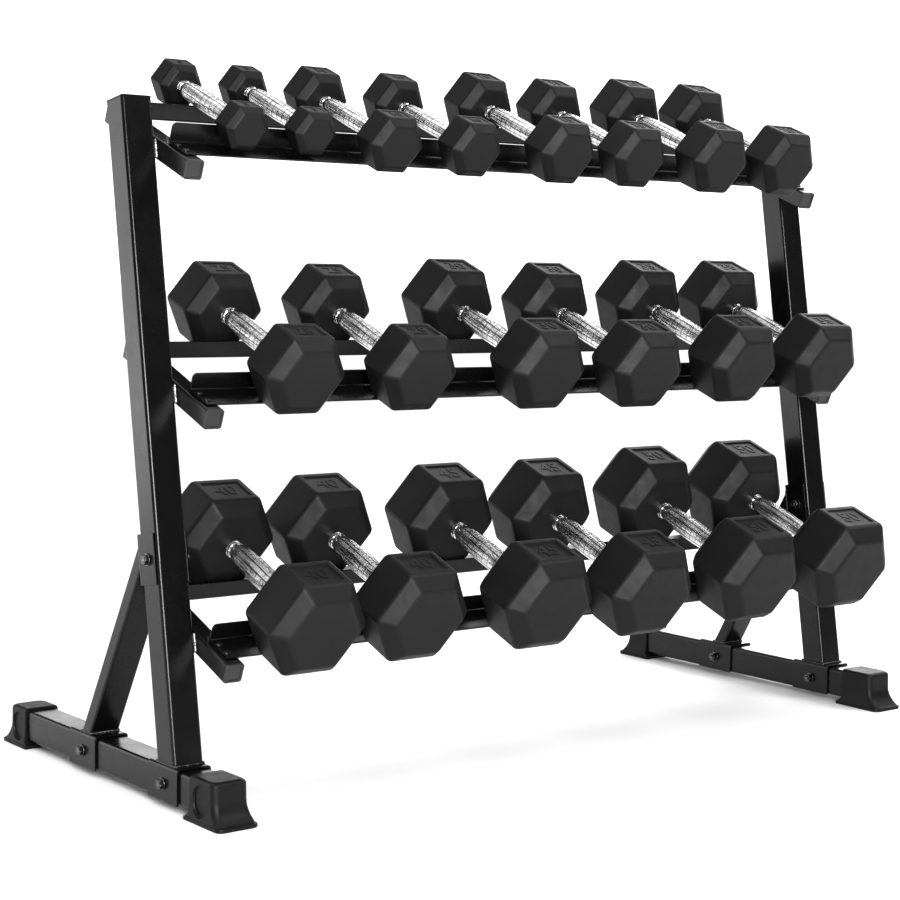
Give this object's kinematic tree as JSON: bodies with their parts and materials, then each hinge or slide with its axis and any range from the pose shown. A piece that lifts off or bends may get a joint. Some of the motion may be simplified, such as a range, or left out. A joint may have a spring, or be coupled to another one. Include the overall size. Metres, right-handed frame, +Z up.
{
  "type": "dumbbell rack",
  "caption": "Free-standing three-tier steel rack with leaning uprights, angle rails and flared boots, holding pairs of hex dumbbells with knurled handles.",
  "frame": {"origin": "on the floor, in the middle of the footprint that the whole loaded rack covers", "axes": "+X runs along the rack to the right as seen from the front, +Y runs from the front to the back, and +Z is up; the tiers slope down towards the front, -Y"},
  "size_m": [1.3108, 0.6686, 1.0279],
  "materials": {
    "powder_coated_steel": "semi-gloss black powder coat",
    "blackened_steel": "black oxide, lightly glossy",
    "moulded_plastic": "matt black moulded plastic",
    "boot_rubber": "matt black moulded rubber",
    "coated_iron": "cast iron heads under a black rubber skin, with a chromed steel handle"
  },
  "bodies": {
    "rack": {"base_beam_left": "powder_coated_steel", "front_saddle_left": "powder_coated_steel", "rear_saddle_left": "powder_coated_steel", "upright_left": "powder_coated_steel", "brace_left": "powder_coated_steel", "upright_cap_left": "moulded_plastic", "front_saddle_bolt_left": "blackened_steel", "rear_saddle_bolt_left": "blackened_steel", "brace_bolt_left": "blackened_steel", "boot_front_left": "boot_rubber", "boot_rear_left": "boot_rubber", "arm_bottom_left": "powder_coated_steel", "arm_cap_bottom_left": "moulded_plastic", "arm_middle_left": "powder_coated_steel", "arm_cap_middle_left": "moulded_plastic", "arm_top_left": "powder_coated_steel", "arm_cap_top_left": "moulded_plastic", "base_beam_right": "powder_coated_steel", "front_saddle_right": "powder_coated_steel", "rear_saddle_right": "powder_coated_steel", "upright_right": "powder_coated_steel", "brace_right": "powder_coated_steel", "upright_cap_right": "moulded_plastic", "front_saddle_bolt_right": "blackened_steel", "rear_saddle_bolt_right": "blackened_steel", "brace_bolt_right": "blackened_steel", "boot_front_right": "boot_rubber", "boot_rear_right": "boot_rubber", "arm_bottom_right": "powder_coated_steel", "arm_cap_bottom_right": "moulded_plastic", "arm_middle_right": "powder_coated_steel", "arm_cap_middle_right": "moulded_plastic", "arm_top_right": "powder_coated_steel", "arm_cap_top_right": "moulded_plastic", "rail_bottom_front": "powder_coated_steel", "rail_bottom_rear": "powder_coated_steel", "rail_middle_front": "powder_coated_steel", "rail_middle_rear": "powder_coated_steel", "rail_top_front": "powder_coated_steel", "rail_top_rear": "powder_coated_steel"},
    "dumbbell_bottom_1": {"dumbbell_bottom_1": "coated_iron"},
    "dumbbell_bottom_2": {"dumbbell_bottom_2": "coated_iron"},
    "dumbbell_bottom_3": {"dumbbell_bottom_3": "coated_iron"},
    "dumbbell_bottom_4": {"dumbbell_bottom_4": "coated_iron"},
    "dumbbell_bottom_5": {"dumbbell_bottom_5": "coated_iron"},
    "dumbbell_bottom_6": {"dumbbell_bottom_6": "coated_iron"},
    "dumbbell_middle_1": {"dumbbell_middle_1": "coated_iron"},
    "dumbbell_middle_2": {"dumbbell_middle_2": "coated_iron"},
    "dumbbell_middle_3": {"dumbbell_middle_3": "coated_iron"},
    "dumbbell_middle_4": {"dumbbell_middle_4": "coated_iron"},
    "dumbbell_middle_5": {"dumbbell_middle_5": "coated_iron"},
    "dumbbell_middle_6": {"dumbbell_middle_6": "coated_iron"},
    "dumbbell_top_1": {"dumbbell_top_1": "coated_iron"},
    "dumbbell_top_2": {"dumbbell_top_2": "coated_iron"},
    "dumbbell_top_3": {"dumbbell_top_3": "coated_iron"},
    "dumbbell_top_4": {"dumbbell_top_4": "coated_iron"},
    "dumbbell_top_5": {"dumbbell_top_5": "coated_iron"},
    "dumbbell_top_6": {"dumbbell_top_6": "coated_iron"},
    "dumbbell_top_7": {"dumbbell_top_7": "coated_iron"},
    "dumbbell_top_8": {"dumbbell_top_8": "coated_iron"}
  },
  "joints": [
    {"name": "dumbbell_bottom_1_lift", "type": "slide", "parent": "rack", "child": "dumbbell_bottom_1", "axis": [0, -0.3633, 0.9317], "range_m": [0, 0.085]},
    {"name": "dumbbell_bottom_2_lift", "type": "slide", "parent": "rack", "child": "dumbbell_bottom_2", "axis": [0, -0.3633, 0.9317], "range_m": [0, 0.085]},
    {"name": "dumbbell_bottom_3_lift", "type": "slide", "parent": "rack", "child": "dumbbell_bottom_3", "axis": [0, -0.3633, 0.9317], "range_m": [0, 0.085]},
    {"name": "dumbbell_bottom_4_lift", "type": "slide", "parent": "rack", "child": "dumbbell_bottom_4", "axis": [0, -0.3633, 0.9317], "range_m": [0, 0.085]},
    {"name": "dumbbell_bottom_5_lift", "type": "slide", "parent": "rack", "child": "dumbbell_bottom_5", "axis": [0, -0.3633, 0.9317], "range_m": [0, 0.085]},
    {"name": "dumbbell_bottom_6_lift", "type": "slide", "parent": "rack", "child": "dumbbell_bottom_6", "axis": [0, -0.3633, 0.9317], "range_m": [0, 0.085]},
    {"name": "dumbbell_middle_1_lift", "type": "slide", "parent": "rack", "child": "dumbbell_middle_1", "axis": [0, -0.3633, 0.9317], "range_m": [0, 0.085]},
    {"name": "dumbbell_middle_2_lift", "type": "slide", "parent": "rack", "child": "dumbbell_middle_2", "axis": [0, -0.3633, 0.9317], "range_m": [0, 0.085]},
    {"name": "dumbbell_middle_3_lift", "type": "slide", "parent": "rack", "child": "dumbbell_middle_3", "axis": [0, -0.3633, 0.9317], "range_m": [0, 0.085]},
    {"name": "dumbbell_middle_4_lift", "type": "slide", "parent": "rack", "child": "dumbbell_middle_4", "axis": [0, -0.3633, 0.9317], "range_m": [0, 0.085]},
    {"name": "dumbbell_middle_5_lift", "type": "slide", "parent": "rack", "child": "dumbbell_middle_5", "axis": [0, -0.3633, 0.9317], "range_m": [0, 0.085]},
    {"name": "dumbbell_middle_6_lift", "type": "slide", "parent": "rack", "child": "dumbbell_middle_6", "axis": [0, -0.3633, 0.9317], "range_m": [0, 0.085]},
    {"name": "dumbbell_top_1_lift", "type": "slide", "parent": "rack", "child": "dumbbell_top_1", "axis": [0, -0.3633, 0.9317], "range_m": [0, 0.15]},
    {"name": "dumbbell_top_2_lift", "type": "slide", "parent": "rack", "child": "dumbbell_top_2", "axis": [0, -0.3633, 0.9317], "range_m": [0, 0.15]},
    {"name": "dumbbell_top_3_lift", "type": "slide", "parent": "rack", "child": "dumbbell_top_3", "axis": [0, -0.3633, 0.9317], "range_m": [0, 0.15]},
    {"name": "dumbbell_top_4_lift", "type": "slide", "parent": "rack", "child": "dumbbell_top_4", "axis": [0, -0.3633, 0.9317], "range_m": [0, 0.15]},
    {"name": "dumbbell_top_5_lift", "type": "slide", "parent": "rack", "child": "dumbbell_top_5", "axis": [0, -0.3633, 0.9317], "range_m": [0, 0.15]},
    {"name": "dumbbell_top_6_lift", "type": "slide", "parent": "rack", "child": "dumbbell_top_6", "axis": [0, -0.3633, 0.9317], "range_m": [0, 0.15]},
    {"name": "dumbbell_top_7_lift", "type": "slide", "parent": "rack", "child": "dumbbell_top_7", "axis": [0, -0.3633, 0.9317], "range_m": [0, 0.15]},
    {"name": "dumbbell_top_8_lift", "type": "slide", "parent": "rack", "child": "dumbbell_top_8", "axis": [0, -0.3633, 0.9317], "range_m": [0, 0.15]}
  ]
}
